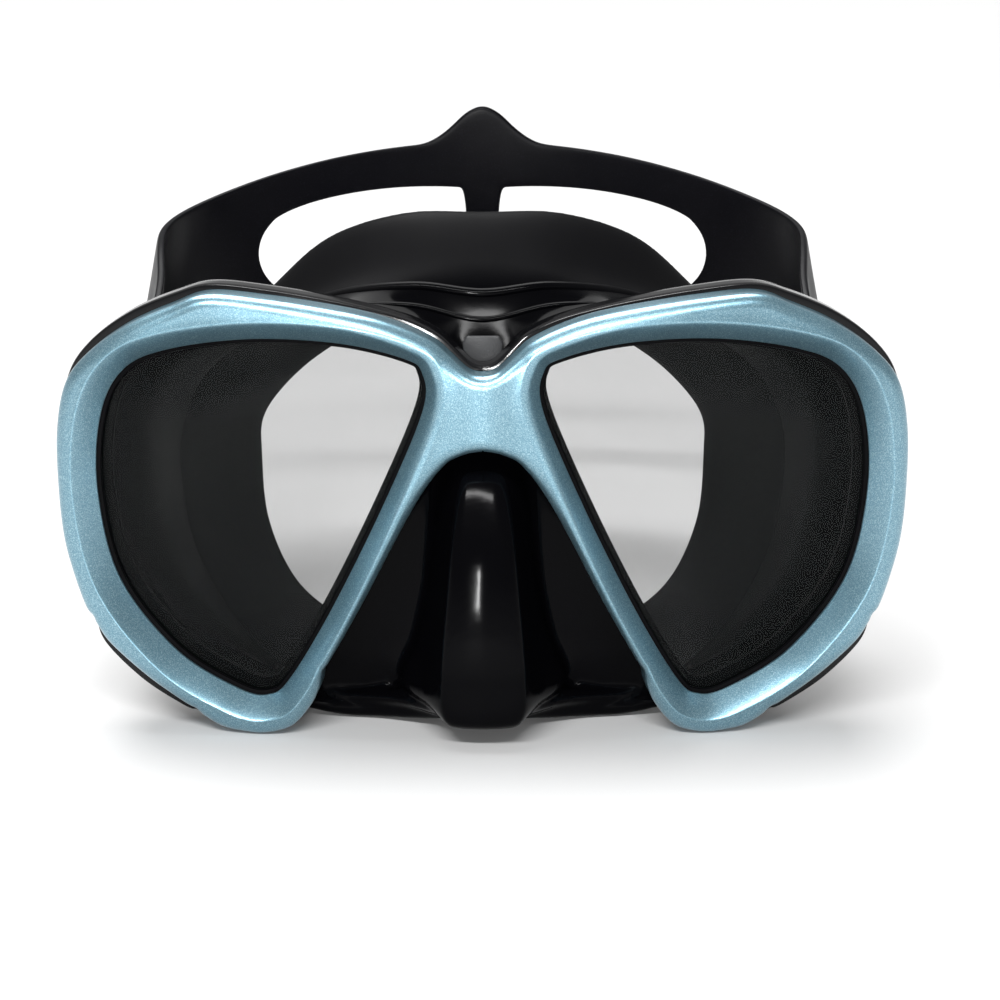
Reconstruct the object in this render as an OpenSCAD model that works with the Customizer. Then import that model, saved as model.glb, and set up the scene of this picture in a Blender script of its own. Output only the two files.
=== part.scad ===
// Diving mask with two lenses, a silicone skirt with a nose pocket, and a split silicone
// head strap on two swivelling squeeze buckles.
// Millimetres. +X to the right as seen from the front, +Y back towards the strap, +Z up.
// The mask stands on z = 0. "left" and "right" are as seen from the front.

/* [Frame] */
// Width of the mask frame
frame_width = 168; // [155:1:180]
// Height of the mask frame, from the two lower tips to the crown
frame_height = 91; // [84:0.5:98]
// How far each lens is turned back towards its temple, in degrees
lens_turn = 6; // [0:0.5:10]
// Depth of the black frame behind the front of the bezel
frame_depth = 13; // [12:0.5:16]
// Thickness of the lens glass
lens_thickness = 4; // [3:0.1:4]

/* [Skirt] */
// Thickness of the silicone wall
skirt_wall = 2; // [1.6:0.1:2.6]
// How far the nose pocket stands in front of the bezel
nose_forward = 4; // [0:0.5:8]

/* [Strap] */
// Width of the strap at the buckles
strap_width = 23; // [20:0.5:25]
// Thickness of the strap
strap_thickness = 1.9; // [1.5:0.1:2.4]
// Distance from the bezel to the back of the strap
strap_reach = 163; // [140:1:175]
// Height of the pad at the back of the head
pad_height = 50; // [40:1:60]
// Height of the two points in the middle of the pad
pad_point = 8.8; // [0:0.2:12]

/* [Buckles] */
// Radius of the pin each buckle swivels on
pin_radius = 2; // [1.5:0.1:2.5]
// Radius of the roller the strap goes round
roller_radius = 3; // [2.5:0.1:3.5]
// Thickness of the cheeks beside the roller
cheek_thickness = 3.6; // [3:0.1:4]

/* [Hidden] */
$fn = 64;

blue = [0.50, 0.66, 0.76];
black = [0.05, 0.05, 0.06];
rubber = [0.09, 0.09, 0.10];
grey = [0.45, 0.46, 0.47];
steel = [0.72, 0.73, 0.75];
glass = [0.75, 0.82, 0.84, 0.35];

// The front of the bezel is at y = front_y, so that y = 0 is the middle of the whole mask.
front_y = -strap_reach / 2 + 1.65;
wide = frame_width / 168;
high = frame_height / 91;

// Depths behind the front of the bezel, along each turned half
bezel_floor = 4.6;
bezel_back = 7;
glass_front = 5.6;
glass_back = glass_front + lens_thickness;
seat_back = glass_back + 1.6;

// Where the buckles swivel, in the mask's own depth
pivot_x = 78 * wide;
pivot_y = 33;
pivot_z = 53 * high;
ear = 2.8;
tongue = 4.2;
side_gap = 0.3;
roller_y = 24;
cheek_in = strap_width / 2 + 0.4;
cheek_out = cheek_in + cheek_thickness;
body_half = 4.8;
loop_radius = roller_radius + 0.4 + strap_thickness / 2;
button_x = -1.2;
button_y = 13.6;
pawl_x = 3.4;
pawl_y = 11.5;

// ---- Outlines, in the plane of one lens: [across, up] for the right half ----

// The edge of the lens opening
lens_marks = [[12.3, 75], [16, 77.8], [28.6, 80.5], [46, 81], [62.4, 78.6], [71.3, 74.4],
    [76.2, 65.3], [77.5, 50], [73.8, 31.7], [62.8, 16.7], [50.3, 8.8], [44, 7.7], [39.6, 11.3],
    [31, 26], [20.5, 47.5], [12.3, 67.3]];

// The outside of the bezel, from the notch over the bridge round to the top of the nose arch
bezel_marks = [[0, 74.9], [3, 75.7], [6.7, 78.7], [10, 81.4], [15.5, 84], [22, 86.1], [31, 87.8],
    [43, 89.4], [54, 90.1], [61, 87.7], [70, 83.6], [77.8, 78], [82.6, 71.8], [84.7, 62], [84.9, 50],
    [84.2, 40], [82.4, 32], [80.4, 25.8], [79, 23.9], [78.3, 22.2], [75.6, 18.1], [68.4, 11.5],
    [61, 6.2], [58.6, 4.9], [57, 3.4], [53.5, 1.3], [49.5, 0.4], [44.5, 0.15], [39, 1.9], [35, 6.6],
    [33, 11.2], [32.6, 13.8], [31, 16.2], [24.4, 28.1], [14.4, 47.5], [8.6, 56], [4.5, 58.8],
    [0, 59.8]];

// How far the black frame shows outside the bezel at each of those marks
frame_margin = [0.8, 0.9, 0.9, 0.9, 0.8, 0.5, 0.6, 0.8, 1, 1.5, 1.6, 1.4, 0.8, 0.1, -0.2, -0.2, -0.1,
    0.4, 1.1, 1.6, 2.9, 3.4, 3, 2.6, 2, 0.9, 0.7, 0.4, 0, -0.3, -0.4, -0.4, -0.4, -0.6, -0.6, -0.6,
    -0.6, -0.6];

function sized(marks) = [for (p = marks) [p.x * wide, p.y * high]];

// A point of a smooth curve between b and c, with a and d the marks on either side
function between(a, b, c, d, t) = b + (c - a) * t / 2
    + (2 * a - 5 * b + 4 * c - d) * t * t / 2 + (3 * b - a - 3 * c + d) * t * t * t / 2;

// Smooth closed curve through the marks
function smooth_loop(p, steps) = let (m = len(p)) [for (i = [0 : m - 1]) for (k = [0 : steps - 1])
    between(p[(i + m - 1) % m], p[i], p[(i + 1) % m], p[(i + 2) % m], k / steps)];

// Smooth open curve through the marks
function smooth_run(p, steps) = let (m = len(p)) concat([for (i = [0 : m - 2])
    for (k = [0 : steps - 1]) between(p[max(i - 1, 0)], p[i], p[i + 1], p[min(i + 2, m - 1)],
    k / steps)], [p[m - 1]]);

function across(p) = [-p.x, p.y];
function side_step(a, b) = let (t = b - a) [-t.y, t.x] / norm(t);

// Move every point of a clockwise loop outwards by d
function grown(p, d) = let (m = len(p))
    [for (i = [0 : m - 1]) p[i] + d * side_step(p[(i + m - 1) % m], p[(i + 1) % m])];

// The lens opening made larger by d
function lens_edge(d) = grown(smooth_loop(sized(lens_marks), 4), d);

// Half of the outer outline moved outwards by the distances in d, closed past the middle
function half_edge(d) = let (p = sized(bezel_marks), m = len(p),
    q = [for (i = [0 : m - 1]) p[i] + d[i] * side_step(i == 0 ? across(p[1]) : p[i - 1],
        i == m - 1 ? across(p[m - 2]) : p[i + 1])],
    r = concat([across(q[1])], q, [across(q[m - 2])]),
    s = [for (i = [1 : m - 1]) for (k = [0 : 2]) between(r[i - 1], r[i], r[i + 1], r[i + 2], k / 3)])
    concat([[-4, s[0].y]], s, [q[m - 1], [-4, q[m - 1].y]]);

function even(d) = [for (p = bezel_marks) d];

// ---- Builders ----

// The mask's own depth is measured from the front of the bezel.
module from_front() translate([0, front_y, 0]) children();

// The same thing on both sides
module both_sides() { children(); mirror([1, 0, 0]) children(); }

// One half turned back towards its temple and trimmed at the middle
module turned_half() intersection() {
    rotate([0, 0, lens_turn]) children();
    translate([0, -20, 0]) cube([110, 80, 130]);
}

// A flat slab of an outline between two depths
module slab(near, far, edge) rotate([90, 0, 0]) translate([0, 0, -far])
    linear_extrude(far - near) polygon(edge);

// A ring between two outlines, from one depth to another
module ring(near, far, outer, inner) difference() {
    slab(near, far, outer);
    slab(near - 1, far + 1, inner);
}

// A closed solid through a row of sections with the same number of points each.
// With ends joined, the last section meets the first.
module skin(sections, joined = false) {
    rows = len(sections);
    n = len(sections[0]);
    walls = [for (i = [0 : rows - (joined ? 1 : 2)]) for (j = [0 : n - 1])
        let (a = i * n, b = ((i + 1) % rows) * n, k = (j + 1) % n)
        each [[a + j, b + j, b + k], [a + j, b + k, a + k]]];
    caps = joined ? [] : [[for (j = [0 : n - 1]) j],
        [for (j = [n - 1 : -1 : 0]) (rows - 1) * n + j]];
    polyhedron([for (s = sections) each s], concat(walls, caps), convexity = 10);
}

// An outline as a section at one depth
function at_depth(y, edge) = [for (p = edge) [p.x, y, p.y]];

// ---- Frame, bezel and lenses ----

// The bezel's outer face falls back from a ridge, and its inner face slopes down to the glass.
bezel_outer = [[0, -3], [0.8, -1.4], [2.6, -0.3], [bezel_back, 0]];
bezel_inner = [[-0.5, 4.3], [0.4, 3.5], [2, 1.7], [bezel_floor, 0], [bezel_back + 1, 0]];

module front_bezel() color(blue) from_front() resize([0, 0, 0]) both_sides() turned_half()
    difference() {
        skin([for (s = bezel_outer) at_depth(s[0], half_edge(even(s[1])))]);
        skin([for (s = bezel_inner) at_depth(s[0], lens_edge(s[1]))]);
        slab(bezel_floor, bezel_back + 1, half_edge(even(-1.5)));
    }

// The fork each buckle swivels in: two ears on a bar that a stub joins to the frame's back
module frame_fork() translate([pivot_x, pivot_y, pivot_z]) {
    reach = tongue / 2 + side_gap + ear;
    for (side = [-1, 1]) translate([side * (reach - ear / 2), 0, 0]) difference() {
        union() {
            rotate([0, 90, 0]) cylinder(r = 5.5, h = ear, center = true);
            translate([-ear / 2, -7.8, -5.5]) cube([ear, 7.8, 11]);
        }
        rotate([0, 90, 0]) cylinder(r = pin_radius + 0.02, h = ear + 2, center = true);
    }
    translate([-reach, -7.8, -5.5]) cube([2 * reach, 2.2, 11]);
    translate([1.5, -13, -5.5]) cube([reach - 1.5, 6, 11]);
}

module main_frame() color(black) from_front() both_sides() {
    turned_half() difference() {
        union() {
            slab(bezel_floor + 0.1, bezel_back + 0.2, half_edge(even(-1.8)));
            slab(bezel_back + 0.1, frame_depth, half_edge(frame_margin));
        }
        slab(0, frame_depth + 1, lens_edge(3.4));
        translate([0, 0, -10]) cube([110, 40, 10]);
    }
    frame_fork();
}

module lens() from_front() turned_half() slab(glass_front, glass_back, lens_edge(2.4));
module lens_right() color(glass) lens();
module lens_left() color(glass) mirror([1, 0, 0]) lens();

// The catch that holds the frame and the skirt together behind the bridge
module bridge_catch() color(grey) from_front() translate([0, frame_depth + 0.5, 0])
    rotate([90, 0, 0]) translate([0, 0, -1.6]) linear_extrude(1.6) polygon([[-3, 71 * high],
        [3, 71 * high], [3.6, 75 * high], [4, 79 * high], [3.2, 80.4 * high],
        [-3.2, 80.4 * high], [-4, 79 * high], [-3.6, 75 * high]]);

// ---- Skirt ----

// Marks round the right half from the middle of the forehead, past the temple and the cheek,
// to the middle of the lip: where the wall leaves the frame, its neck, its flare, its rim, and
// the edge turned in against the face. Each is [across, back, up].
root_marks = [[0, 16.6, 68.6], [12.7, 15.8, 80], [28.6, 16.8, 83.5], [48.5, 18.9, 83.5], [66, 20.9, 80.2],
    [76, 21.4, 67], [76.9, 21.3, 50], [71.6, 20.8, 31.3], [60.7, 19.7, 16.6], [44.5, 18.1, 7.4],
    [31, 16.6, 5.5], [16, 10, 5.4], [0, 1.5 - nose_forward, 5.4]];
neck_marks = [[0, 21, 80], [14, 22.5, 83.5], [31, 24, 84], [49, 26, 80.5], [62, 27.5, 74],
    [68.4, 27.6, 64], [69.6, 27.4, 50], [66.5, 27.5, 32], [56, 26, 16], [43, 23, 5],
    [31, 18.5, 1.4], [17, 15, 2.6], [0, 8, 2.4]];
flare_marks = [[0, 27, 90], [14, 29, 90.5], [29, 34, 87], [44, 42, 78], [55, 48, 68],
    [61, 51, 57], [63, 52, 46], [60.5, 49, 28], [52.5, 43, 12], [41, 36, 2.4],
    [29, 30, 0.7], [16, 26, 1], [0, 21, 1.8]];
rim_marks = [[0, 38, 101], [16, 41, 100.3], [31.5, 47, 94.5], [43, 52.5, 84], [51.5, 59, 73],
    [58, 65.5, 60], [60.5, 69, 46], [58.5, 64, 26], [50.5, 55, 9], [39.5, 46, 1.1],
    [28, 40, 1], [15, 36, 1.1], [0, 34, 1.8]];
face_marks = [[0, 45, 93], [14, 47, 92], [27, 52, 86.5], [37, 57.5, 77], [44.5, 64, 67],
    [49.5, 70, 56], [50.5, 73, 45], [48.5, 68, 28], [42, 60, 15], [33, 51, 8.5],
    [23.5, 45, 7.5], [13, 40.5, 8], [0, 38, 9]];
// The edge of the second, inner seal
inner_marks = [[0, 36, 82], [12, 38, 81], [24, 43, 76], [35, 49, 68.5], [43, 56, 60],
    [47.7, 62, 52], [48.4, 64, 44], [47, 60, 30], [41, 52, 19], [32, 44, 13.5],
    [22, 38, 12], [12, 33, 11], [0, 31, 10]];
// Silicone thickness at the root, neck, flare, rim and edge
wall_marks = [1.5, 1.1, 1, 0.9, 0.45] * skirt_wall;

// A smooth ring right round from the marks of its right half
function full_ring(marks) = let (p = [for (m = marks) [m.x * wide, m.y, m.z * high]], m = len(p))
    smooth_loop(concat(p, [for (i = [m - 2 : -1 : 1]) [-p[i].x, p[i].y, p[i].z]]), 3);

skirt_rings = [for (m = [root_marks, neck_marks, flare_marks, rim_marks, face_marks]) full_ring(m)];
around = len(skirt_rings[0]);
skirt_lines = [for (i = [0 : around - 1]) smooth_run([for (r = skirt_rings) r[i]], 2)];
wall_line = smooth_run(wall_marks, 2);

function unit(v) = v / norm(v);
function out_from(i, j) = let (n = around, last = len(skirt_lines[0]) - 1)
    unit(cross(skirt_lines[(i + 1) % n][j] - skirt_lines[(i + n - 1) % n][j],
        skirt_lines[i][min(j + 1, last)] - skirt_lines[i][max(j - 1, 0)]));

// A skirt point moved inwards by part of the wall
function inside(i, j, part) = skirt_lines[i][j] - out_from(i, j) * wall_line[j] * part;

module skirt_body() skin([for (i = [0 : around - 1]) let (last = len(skirt_lines[i]) - 1)
    concat([for (j = [last : -1 : 0]) skirt_lines[i][j]], [for (j = [0 : last]) inside(i, j, 1)])],
    joined = true);

// The inner seal springs from inside the flare.
module inner_seal() {
    edge = full_ring(inner_marks);
    skin([for (i = [0 : around - 1]) let (root = inside(i, 3, 0.5), v = unit(inside(i, 4, 0.5) - root))
        [root + 0.8 * v, root - 0.8 * v, edge[i] - 0.4 * v, edge[i] + 0.4 * v]], joined = true);
}

// Nose pocket marks from the bottom up: [height, half width of the front panel,
// front, half width where it meets the frame, depth there]
nose_marks = [[4.2, 6.5, 4.5, 30, 16.8], [6, 8, 1.2, 34, 17], [10, 8.4, 0, 34.5, 17],
    [18, 8.1, 0, 30.5, 16.6], [28, 7.3, 1.5, 26, 16.2], [38, 6.4, 4, 21, 15.6],
    [46, 5.6, 7.5, 17.3, 15.2], [53, 4.8, 11.5, 13.8, 14.9], [58, 4, 16.7, 11, 15.4],
    [60.4, 3.7, 17.6, 10, 15.4], [63.5, 3.4, 17.7, 9, 15.7]];

function nose_half(m) = let (w = m[1], front = m[2] - nose_forward, wide_at = m[3], back = m[4],
    deep = back - front) [[0, front], [w * 0.7, front + 0.2], [w + 0.6, front + min(1.8, deep * 0.2)],
    [w + 1.9, front + deep * 0.5], [w + 3.2, front + deep * 0.82],
    [(w + 3.2 + wide_at) / 2, back - 0.3], [wide_at, back + 0.2]];

function nose_line(m) = let (p = nose_half(m), h = smooth_run(p, 2), n = len(h))
    concat([for (i = [n - 1 : -1 : 1]) [-h[i].x, h[i].y]], h);

// A section of the pocket: its outside and the same line moved inwards by the wall
function nose_section(m) = let (line = nose_line(m), n = len(line))
    concat([for (p = line) [p.x * wide, p.y, m[0] * high]],
    [for (i = [n - 1 : -1 : 0]) let (v = line[i] + skirt_wall * side_step(line[max(i - 1, 0)],
        line[min(i + 1, n - 1)])) [v.x * wide, v.y, m[0] * high]]);

module nose_pocket() skin([for (m = smooth_run(nose_marks, 2)) nose_section(m)]);

// Each lens sits in a groove round its edge; the lip in front of it is the black line
// seen inside the bezel.
module lens_groove() turned_half() {
    ring(bezel_floor + 0.1, glass_front, lens_edge(3), lens_edge(-0.9));
    ring(glass_front - 0.1, glass_back + 0.1, lens_edge(3), lens_edge(2.5));
    ring(glass_back, seat_back, lens_edge(3), lens_edge(-2));
    ring(seat_back - 0.1, frame_depth + 2.6, lens_edge(3), lens_edge(-0.4));
}

// The wall behind the bridge, between the two lens grooves
module bridge_web() turned_half() difference() {
    slab(frame_depth + 0.2, frame_depth + 2.2,
        [[-4, 54], [16, 54], [16, 78], [9, 78], [4.4, 70.5], [-4, 70.5]] * high);
    slab(frame_depth - 1, frame_depth + 4, lens_edge(0));
}

module skirt() color(rubber) from_front() resize([0, 0, 0]) {
    skirt_body();
    inner_seal();
    nose_pocket();
    both_sides() { lens_groove(); bridge_web(); }
}

// ---- Buckles: built for the right side, about the swivel pin ----

module at_pivot() from_front() translate([pivot_x, pivot_y, pivot_z]) children();
module left_side() mirror([1, 0, 0]) children();

module pivot_pin() at_pivot() rotate([0, 90, 0]) {
    cylinder(r = pin_radius, h = tongue + 2 * side_gap + 2 * ear, center = true);
    translate([0, 0, tongue / 2 + side_gap + ear]) cylinder(r = 3.2, h = 0.8);
}
module pivot_pins() color(steel) both_sides() pivot_pin();

// The body of a buckle: a tongue on the pin, a front wall and two cheeks for the roller
module swivel() at_pivot() difference() {
    union() {
        rotate([0, 90, 0]) cylinder(r = 5, h = tongue, center = true);
        translate([-tongue / 2, 0, -5]) cube([tongue, 8, 10]);
        translate([-body_half, 6.4, -cheek_out]) cube([2 * body_half, 3.1, 2 * cheek_out]);
        for (side = [-1, 1]) translate([0, 0, side * (cheek_in + cheek_out) / 2]) {
            translate([-body_half, 6.4, -cheek_thickness / 2])
                cube([2 * body_half, roller_y - 6.4, cheek_thickness]);
            translate([0, roller_y, 0]) cylinder(r = body_half, h = cheek_thickness, center = true);
        }
        // Rib the two button springs press against
        translate([button_x - 2.4, 9, -1.4]) cube([4.8, 7.4, 2.8]);
        // Lugs for the pawl
        for (side = [-1, 1]) translate([pawl_x - 1.6, 9, side * 7.2 - 0.7]) cube([3, 4.1, 1.4]);
    }
    rotate([0, 90, 0]) cylinder(r = pin_radius + 0.05, h = 20, center = true);
    translate([0, roller_y, 0]) cylinder(r = 1.55, h = 2 * cheek_out + 2, center = true);
    translate([pawl_x, pawl_y, 0]) cylinder(r = 0.85, h = 18, center = true);
    for (side = [-1, 1]) translate([button_x, button_y, side * (cheek_in + cheek_out) / 2])
        cube([4.8, 5.8, 6], center = true);
}
module swivel_right() color(black) swivel();
module swivel_left() color(black) left_side() swivel();

// The roller the strap goes round, on its own spindle
module roller() at_pivot() translate([0, roller_y, 0]) {
    cylinder(r = roller_radius, h = strap_width + 0.2, center = true);
    cylinder(r = 1.5, h = 2 * cheek_out - 0.4, center = true);
}
module roller_right() color(grey) roller();
module roller_left() color(grey) left_side() roller();

// The pawl whose edge holds the strap against the roller
module pawl() at_pivot() translate([pawl_x, pawl_y, 0]) {
    cylinder(r = 0.8, h = 15.6, center = true);
    cylinder(r = 1.7, h = 12.2, center = true);
    rotate([0, 0, 15.4]) translate([-0.7, 0, -6.1]) cube([1.4, 6.6, 12.2]);
}
module pawl_right() color(grey) pawl();
module pawl_left() color(grey) left_side() pawl();

// A squeeze button: a head through the cheek, a flange that stops it and a post for its spring
module button() at_pivot() translate([button_x, button_y, 0]) {
    translate([-2.1, -2.6, cheek_in - 1]) cube([4.2, 5.2, cheek_out - cheek_in + 3.3]);
    translate([-2.6, -3.4, cheek_in - 3.3]) cube([5.2, 6.8, 3]);
    translate([0, 0, cheek_in - 4.8]) cylinder(r = 1.1, h = 2);
}
module flipped() from_front() translate([0, 0, 2 * pivot_z]) mirror([0, 0, 1])
    translate([0, -front_y, 0]) children();
module button_upper_right() color(black) button();
module button_upper_left() color(black) left_side() button();
module button_lower_right() color(black) flipped() button();
module button_lower_left() color(black) left_side() flipped() button();

// The spring under a button, as its closed coils
module spring() at_pivot() translate([button_x, button_y, 1.5]) {
    length = cheek_in - 3.4 - 1.5;
    turns = 5;
    rotate_extrude() polygon(concat([[1.5, 0]], [for (i = [0 : 2 * turns])
        [i % 2 == 0 ? 1.75 : 2.05, i * length / (2 * turns)]], [[1.5, length]]));
}
module spring_upper_right() color(steel) spring();
module spring_upper_left() color(steel) left_side() spring();
module spring_lower_right() color(steel) flipped() spring();
module spring_lower_left() color(steel) left_side() flipped() spring();

// ---- Strap ----

// The strap's middle line on the right, from its free end round the roller to the back of the
// head: [across, back, up, half height, how far the top leans in]
function loop_mark(turn) = [pivot_x + loop_radius * cos(turn),
    pivot_y + roller_y + loop_radius * sin(turn), pivot_z, strap_width / 2, 0];
half_pad = pad_height / 2;
strap_marks = concat(
    [[77.4, 89, 60.1, strap_width / 2 - 1.5, 1.4], [77.7, 82, 58.6, strap_width / 2 - 0.3, 1.4],
        [78.6, 74, 56.8, strap_width / 2, 1.1], [80.6, 65, 54.4, strap_width / 2, 0.5]],
    [for (turn = [0 : -22.5 : -180]) loop_mark(turn)],
    [[73.8, 64, 54.2, 11.7, 0.5], [73.9, 74, 56.8, 12.4, 1.2], [74.3, 84, 59.2, 14.6, 1.9],
        [75.6, 94, 61.2, 16.4, 3], [78, 106, 63.2, 18.2, 4], [77.4, 118, 64.9, 18.6, 2.6],
        [73, 130, 66.2, 19, 1], [64.6, 140.5, 67.8, 19.9, 0.2], [53, 148.5, 69.4, 21.6, 0],
        [39.5, 155, 70.8, half_pad - 1.8, 0], [26, 159.6, 71.8, half_pad - 0.8, 0],
        [13, 162.2, 72.2, half_pad - 0.1, 0], [0, strap_reach, 72.4, half_pad, 0]]);

strap_line = smooth_run(concat(strap_marks, [for (i = [len(strap_marks) - 2 : -1 : 0])
    let (m = strap_marks[i]) [-m[0], m[1], m[2], m[3], m[4]]]), 2);

function point_rise(x, y) = y > 120 && abs(x) < 14 ? pad_point * pow(cos(x * 90 / 14), 2) : 0;

// A section of the strap across its width
function strap_section(i) = let (n = len(strap_line), m = strap_line[i],
    a = strap_line[max(i - 1, 0)], b = strap_line[min(i + 1, n - 1)],
    out = side_step([a[0], a[1]], [b[0], b[1]]) * strap_thickness / 2,
    half = m[3] + point_rise(m[0], m[1]), lean = -sign(m[0]) * m[4], h = half - 0.5)
    [for (c = [[-1, 0], [-1, -h], [0.4, -half], [1, -h], [1, 0], [1, h], [0.4, half], [-1, h]])
        [m[0] + out.x * c[0] + lean * c[1] / half, m[1] + out.y * c[0], m[2] + c[1]]];

// One opening in the pad, either side of its middle bridge
opening_marks = [[4.2, 84.2], [5.5, 86], [20, 86.4], [34, 85.3], [46, 82.8], [53, 79.2], [56, 75],
    [56.4, 71.4], [54.6, 66.6], [49, 62.2], [36, 59.4], [20, 58.4], [5.5, 58.8], [4.2, 60.6]];

module strap() color(rubber) from_front() resize([0, 0, 0]) difference() {
    skin([for (i = [0 : len(strap_line) - 1]) strap_section(i)]);
    both_sides() slab(120, 180, smooth_loop(opening_marks, 4));
}

// A loop that keeps the free end of the strap against it
module keeper() from_front() translate([77.1, 69.8, 55.4]) rotate([14, -5, 6])
    difference() {
        cube([11.4, 4.4, 27.4], center = true);
        cube([9.4, 8, 25.2], center = true);
    }
module keeper_right() color(rubber) keeper();
module keeper_left() color(rubber) left_side() keeper();

front_bezel();
main_frame();
lens_left();
lens_right();
skirt();
bridge_catch();
pivot_pins();
swivel_left();
swivel_right();
roller_left();
roller_right();
pawl_left();
pawl_right();
button_upper_left();
button_lower_left();
button_upper_right();
button_lower_right();
spring_upper_left();
spring_lower_left();
spring_upper_right();
spring_lower_right();
strap();
keeper_left();
keeper_right();
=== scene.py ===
import math

import bmesh
import bpy
import numpy as np
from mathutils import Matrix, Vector


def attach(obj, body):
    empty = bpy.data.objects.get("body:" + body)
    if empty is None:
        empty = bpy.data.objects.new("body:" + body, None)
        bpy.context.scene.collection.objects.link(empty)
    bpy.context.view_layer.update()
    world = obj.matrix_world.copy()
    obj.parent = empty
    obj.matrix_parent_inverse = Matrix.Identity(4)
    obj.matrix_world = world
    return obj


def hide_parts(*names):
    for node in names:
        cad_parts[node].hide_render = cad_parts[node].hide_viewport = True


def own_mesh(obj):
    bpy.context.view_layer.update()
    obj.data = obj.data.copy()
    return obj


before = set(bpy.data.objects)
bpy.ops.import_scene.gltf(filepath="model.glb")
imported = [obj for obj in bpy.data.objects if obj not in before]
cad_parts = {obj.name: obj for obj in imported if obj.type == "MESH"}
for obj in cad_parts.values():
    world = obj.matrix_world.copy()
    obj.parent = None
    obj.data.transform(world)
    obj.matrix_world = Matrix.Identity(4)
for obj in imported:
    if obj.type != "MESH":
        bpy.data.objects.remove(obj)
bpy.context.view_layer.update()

# A diving mask: two turned lenses in a painted bezel and a black frame, a silicone skirt with a
# nose pocket, and a split strap on two squeeze buckles. Lengths are in mm up to make(), which
# turns them into metres, and depths are counted from the front of the bezel at FRONT.
FRONT = -79.85
TURN = math.radians(6)

# depths of the layers behind the bezel's front, in mm
BEZEL_SEAT, BEZEL_BACK = 4.75, 7.0
GLASS_FRONT, GLASS_BACK = 5.62, 9.58
FRAME_FRONT, FRAME_BACK = 7.15, 13.0

# (across, up) round one half: the lens opening, and the bezel's outline from the notch to the arch
LENS = [(12.3, 75), (16, 77.8), (28.6, 80.5), (46, 81), (62.4, 78.6), (71.3, 74.4), (76.2, 65.3),
        (77.5, 50), (73.8, 31.7), (62.8, 16.7), (50.3, 8.8), (44, 7.7), (39.6, 11.3), (31, 26),
        (20.5, 47.5), (12.3, 67.3)]
BEZEL = [(0, 74.9), (3, 75.7), (6.7, 78.7), (10, 81.4), (15.5, 84), (22, 86.1), (31, 87.8),
         (43, 89.4), (54, 90.1), (61, 87.7), (70, 83.6), (77.8, 78), (82.6, 71.8), (84.7, 62),
         (84.9, 50), (84.2, 40), (82.4, 32), (80.4, 25.8), (79, 23.9), (78.3, 22.2), (75.6, 18.1),
         (68.4, 11.5), (61, 6.2), (58.6, 4.9), (57, 3.4), (53.5, 1.3), (49.5, 0.4), (44.5, 0.15),
         (39, 1.9), (35, 6.6), (33, 11.2), (32.6, 13.8), (31, 16.2), (24.4, 28.1), (14.4, 47.5),
         (8.6, 56), (4.5, 58.8), (0, 59.8)]
# how far the main frame stands out past each point of BEZEL
FRAME_MARGIN = [0.8, 0.9, 0.9, 0.9, 0.8, 0.5, 0.6, 0.8, 1, 1.5, 1.6, 1.4, 0.8, 0.1, -0.2, -0.2,
                -0.1, 0.4, 1.1, 1.6, 2.9, 3.4, 3, 2.6, 2, 0.9, 0.7, 0.4, 0, -0.3, -0.4, -0.4, -0.4,
                -0.6, -0.6, -0.6, -0.6, -0.6]
# a point that sees the whole of every outline
LENS_CENTRE = np.array([44.0, 58.0])
# the right buckle's pin
PIVOT = np.array([78.0, 33.0, 53.0])


# ---------------------------------------------------------------- curves and outlines

def smooth(marks, steps, closed=False, mirrored=False):
    """A Catmull-Rom curve through the marks. mirrored: the curve crosses x = 0 square at its ends."""
    p = np.asarray(marks, float)
    if closed:
        q = np.vstack([p[-1:], p, p[:2]])
    elif mirrored:
        flip = np.ones(p.shape[1])
        flip[0] = -1
        q = np.vstack([p[1:2] * flip, p, p[-2:-1] * flip])
    else:
        q = np.vstack([p[:1], p, p[-1:]])
    t = np.arange(steps)[:, None] / steps
    out = [b + (c - a) * t / 2 + (2 * a - 5 * b + 4 * c - d) * t * t / 2
           + (3 * b - a - 3 * c + d) * t ** 3 / 2
           for a, b, c, d in (q[i:i + 4] for i in range(len(q) - 3))]
    return np.vstack(out if closed else out + [p[-1:]])


def evenly(points, count, closed=False):
    """count points at equal distances along a line."""
    p = np.vstack([points, points[:1]]) if closed else points
    run = np.r_[0, np.cumsum(np.linalg.norm(np.diff(p, axis=0), axis=1))]
    want = np.linspace(0, run[-1], count, endpoint=not closed)
    return np.stack([np.interp(want, run, p[:, k]) for k in range(p.shape[1])], 1)


def outward(points, closed=False, mirrored=False):
    """The outward side of every point of a clockwise line."""
    if closed:
        t = np.roll(points, -1, 0) - np.roll(points, 1, 0)
    else:
        t = np.gradient(points, axis=0)
        if mirrored:
            t[0], t[-1] = (1, 0), (-1, 0)
    n = np.stack([-t[:, 1], t[:, 0]], 1)
    return n / np.linalg.norm(n, axis=1)[:, None]


def distance(points, line):
    """Distance from each point to a polyline."""
    a, b = line[:-1], line[1:]
    ab = b - a
    out = np.empty(len(points))
    for i in range(0, len(points), 2000):
        ap = points[i:i + 2000, None] - a[None]
        t = np.clip((ap * ab).sum(2) / (ab * ab).sum(1), 0, 1)
        out[i:i + 2000] = np.linalg.norm(ap - ab * t[..., None], axis=2).min(1)
    return out


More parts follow.
